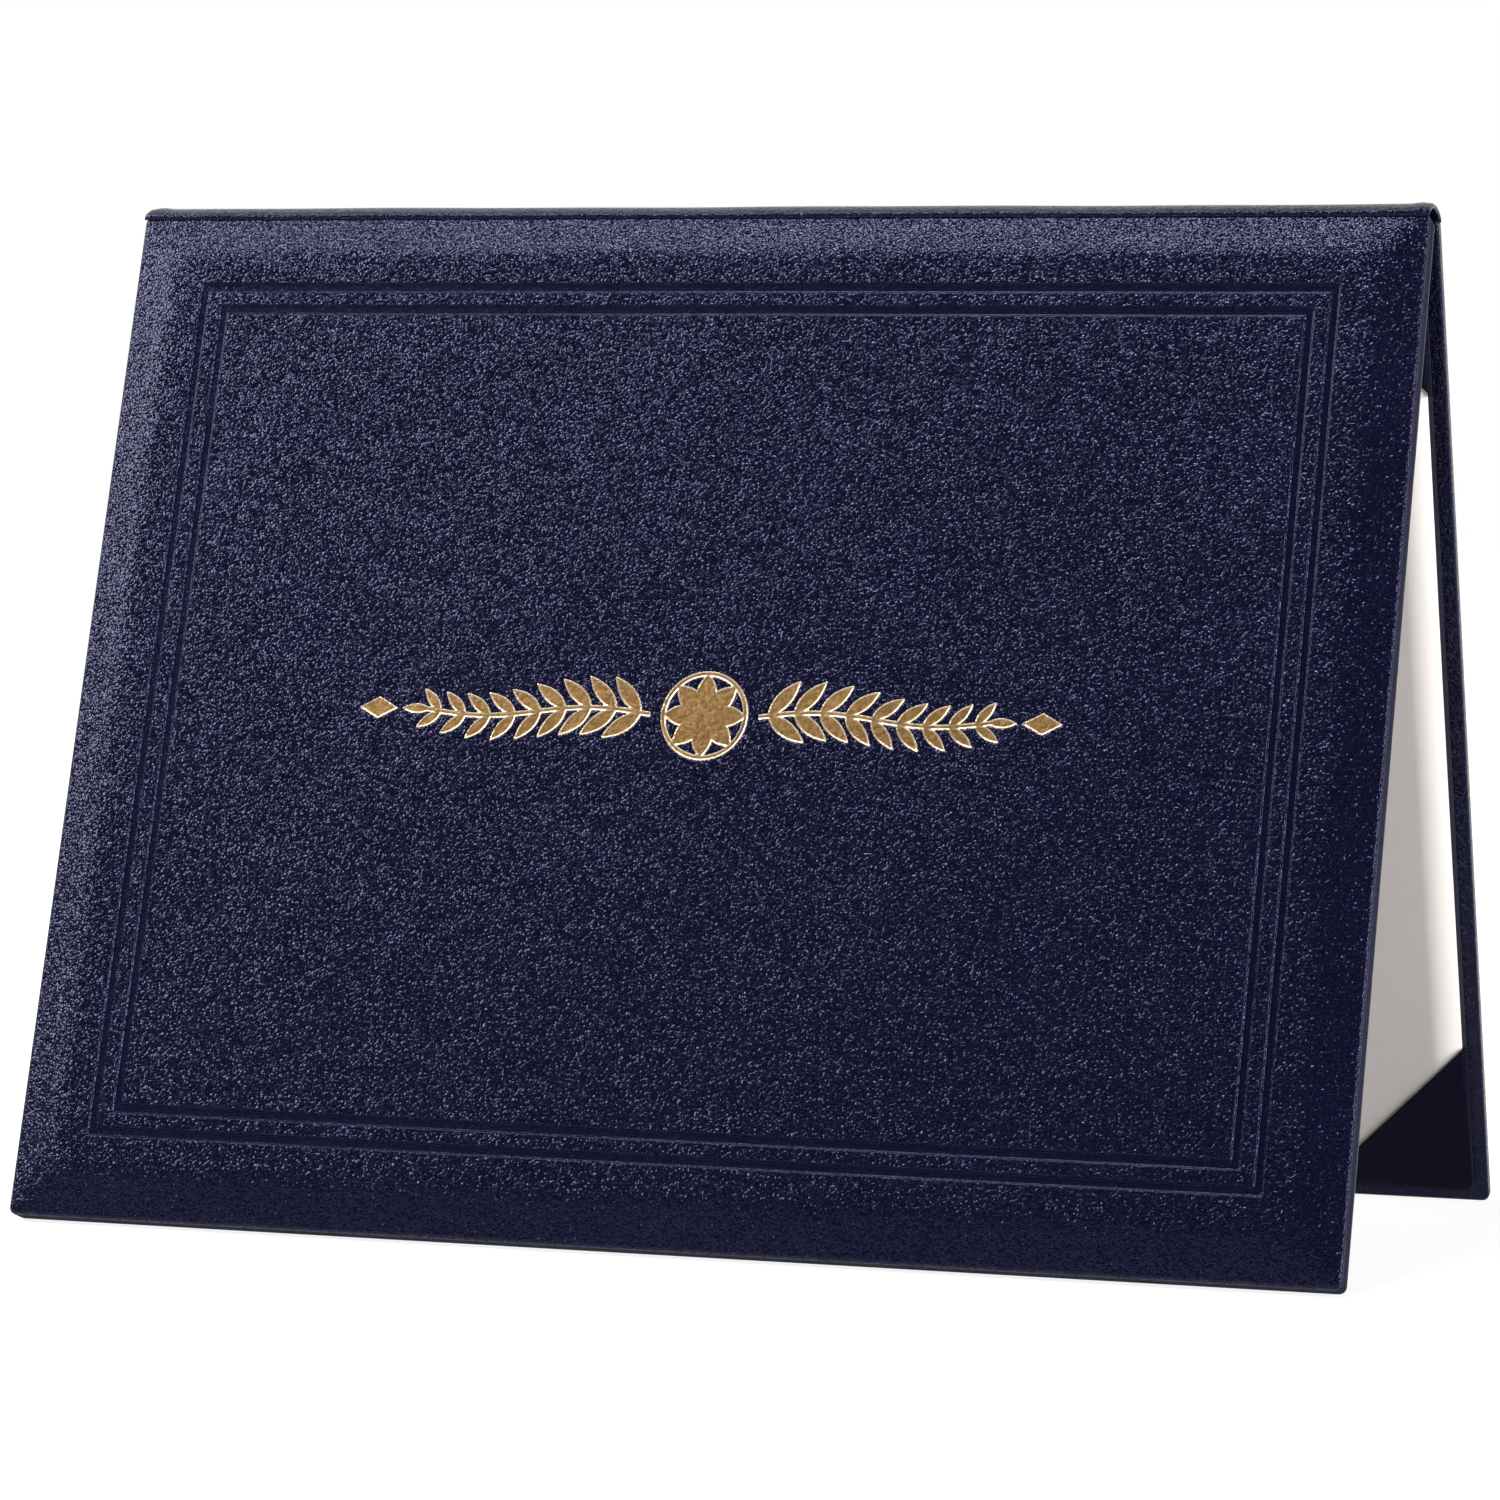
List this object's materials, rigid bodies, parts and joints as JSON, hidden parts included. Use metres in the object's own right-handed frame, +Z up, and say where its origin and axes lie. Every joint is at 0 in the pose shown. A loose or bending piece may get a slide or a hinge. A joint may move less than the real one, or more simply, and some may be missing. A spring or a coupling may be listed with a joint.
{
  "type": "diploma cover",
  "caption": "Padded landscape diploma cover standing open as a tent, with a pressed double frame, gold foil ornament and corner pockets that hold a certificate sheet.",
  "frame": {"origin": "centre of the bounding box at its bottom, on the surface that the cover stands on", "axes": "+X along the spine, +Z up, the padded front cover faces -Y"},
  "size_m": [0.292, 0.1524, 0.219],
  "materials": {
    "leatherette": "navy fine-grained leatherette with a satin sheen",
    "pocket_leatherette": "thin navy leatherette, satin",
    "lining": "smooth dark navy lining, matt",
    "greyboard": "grey bookbinding board",
    "foam": "soft padding sheet",
    "certificate_paper": "plain white card, blank",
    "gold_foil": "hot-pressed gold foil, satin"
  },
  "bodies": {
    "front_cover": {"cover_front": "leatherette", "front_pad": "foam", "front_board": "greyboard", "front_lining": "lining", "foil_rosette": "gold_foil", "foil_branch_left": "gold_foil", "foil_branch_right": "gold_foil", "foil_lozenge_left": "gold_foil", "foil_lozenge_right": "gold_foil", "cover_spine": "leatherette", "hinge_strip": "lining"},
    "back_cover": {"cover_back": "leatherette", "back_board": "greyboard", "back_lining": "lining", "certificate": "certificate_paper", "pocket_upper_left": "pocket_leatherette", "pocket_upper_right": "pocket_leatherette", "pocket_lower_left": "pocket_leatherette", "pocket_lower_right": "pocket_leatherette"}
  },
  "joints": [
    {"name": "spine_fold", "type": "hinge", "parent": "front_cover", "child": "back_cover", "pos_m": [0, 0.00168, 0.21582], "axis": [1, 0, 0], "range_deg": [-36.2, 143.8], "deforming": ["cover_spine", "hinge_strip"]}
  ]
}
